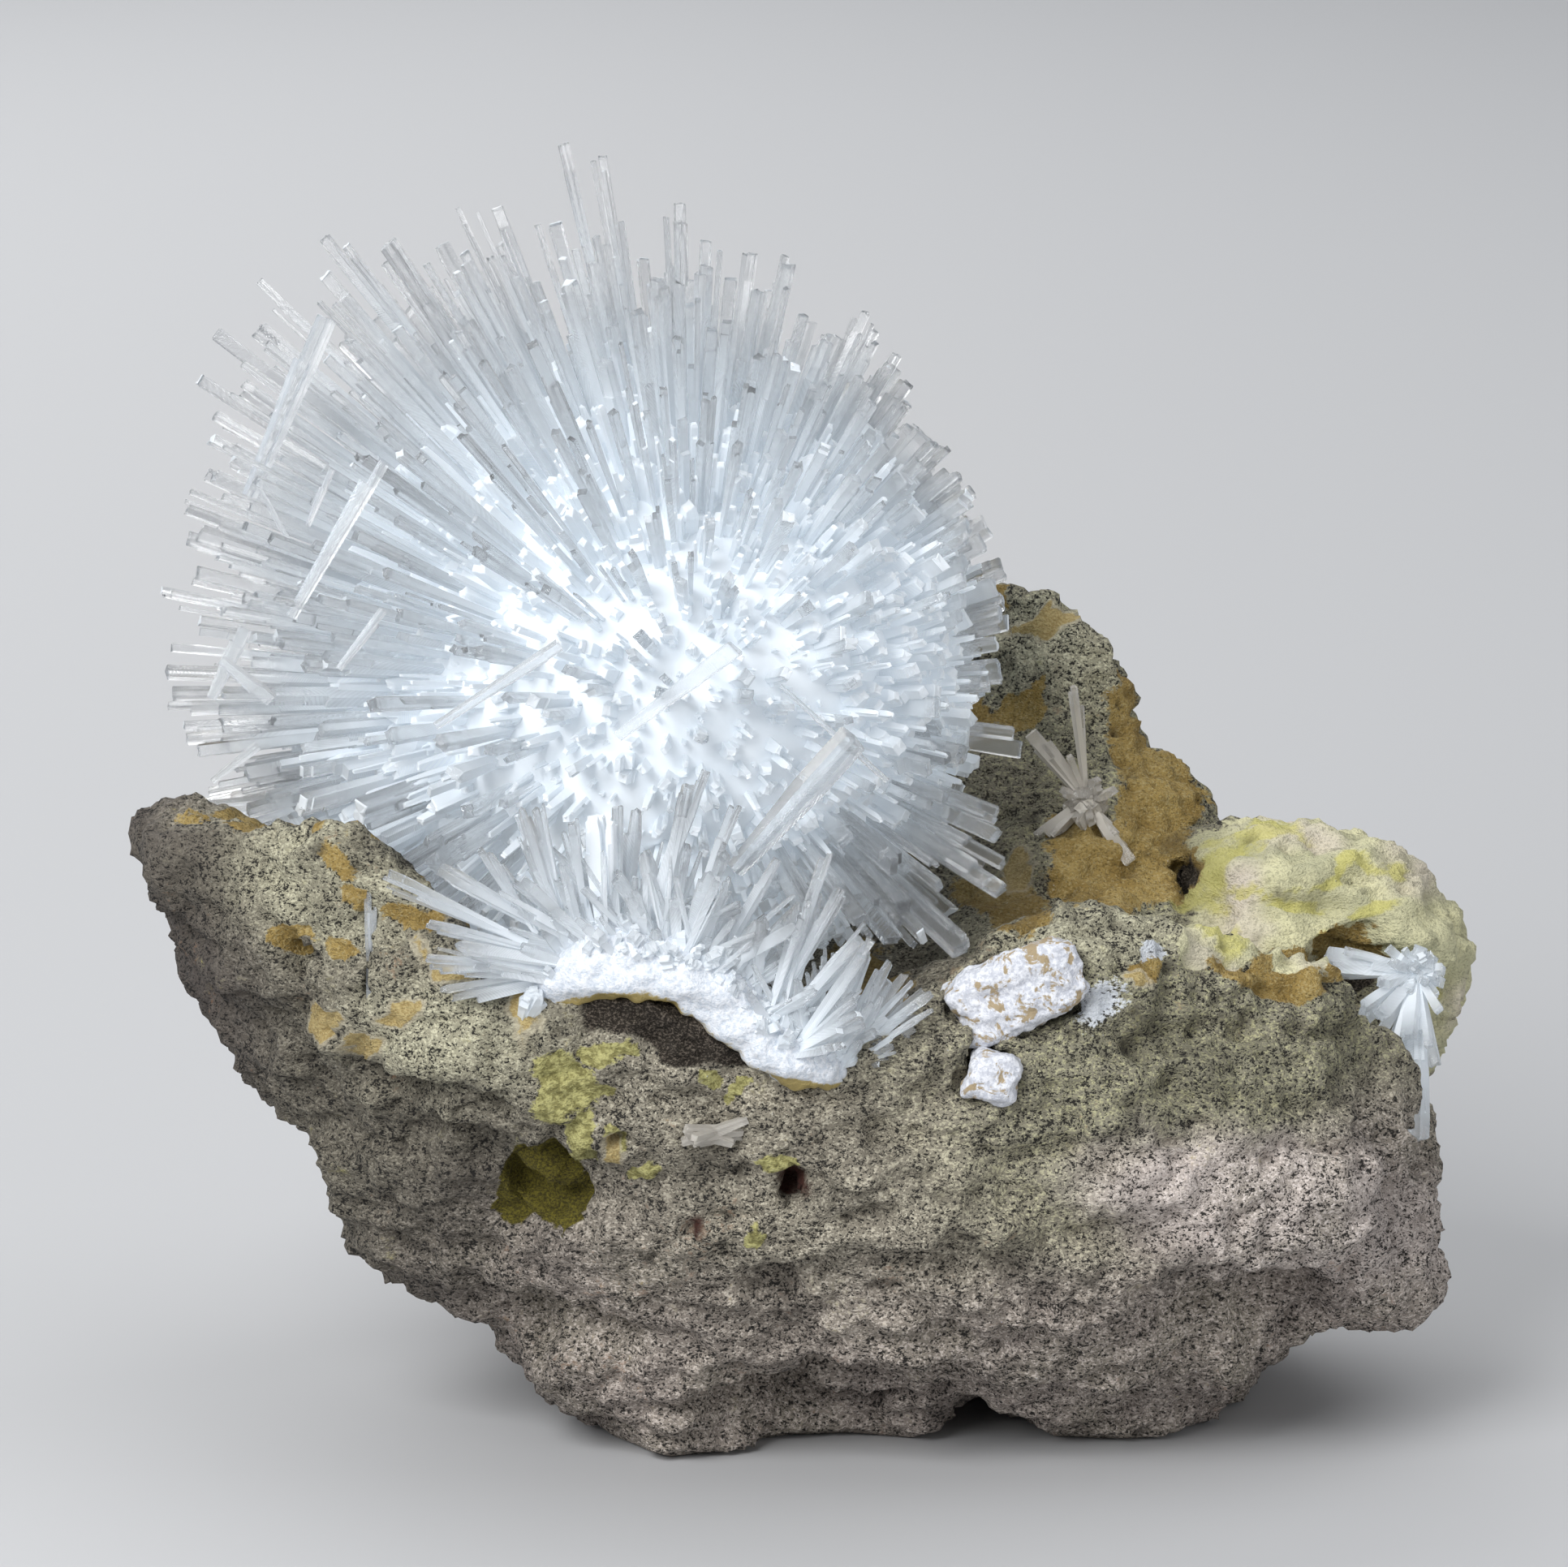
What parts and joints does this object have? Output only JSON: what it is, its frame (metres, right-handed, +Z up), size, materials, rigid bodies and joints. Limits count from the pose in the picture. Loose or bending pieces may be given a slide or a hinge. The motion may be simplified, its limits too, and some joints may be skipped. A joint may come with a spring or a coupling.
{
  "type": "scolecite spray on basalt matrix",
  "caption": "Cabinet mineral specimen: a ball of clear needle crystals radiating from a vug in a block of vesicular basalt, with smaller fans, which rests on a flat break.",
  "frame": {"origin": "on the flat break that the specimen rests on, under the middle of the rock's width", "axes": "+X to the right across the longest side, +Y away from the front, +Z up"},
  "size_m": [0.1222, 0.0909, 0.1153],
  "materials": {
    "basalt": "rough, vesicular, with ochre and yellow coatings",
    "scolecite": "clear, glassy, striated, milky towards the root",
    "chalk": "chalky white, matte"
  },
  "bodies": {
    "root": {"basalt_matrix": "basalt", "main_spray": "scolecite", "front_spray": "scolecite", "side_spray": "scolecite", "ridge_spray": "scolecite", "leaning_crystal": "scolecite", "stub_crystal_centre": "scolecite", "stub_crystal_left": "scolecite", "chalky_crust_upper": "chalk", "chalky_crust_lower": "chalk"}
  },
  "joints": []
}
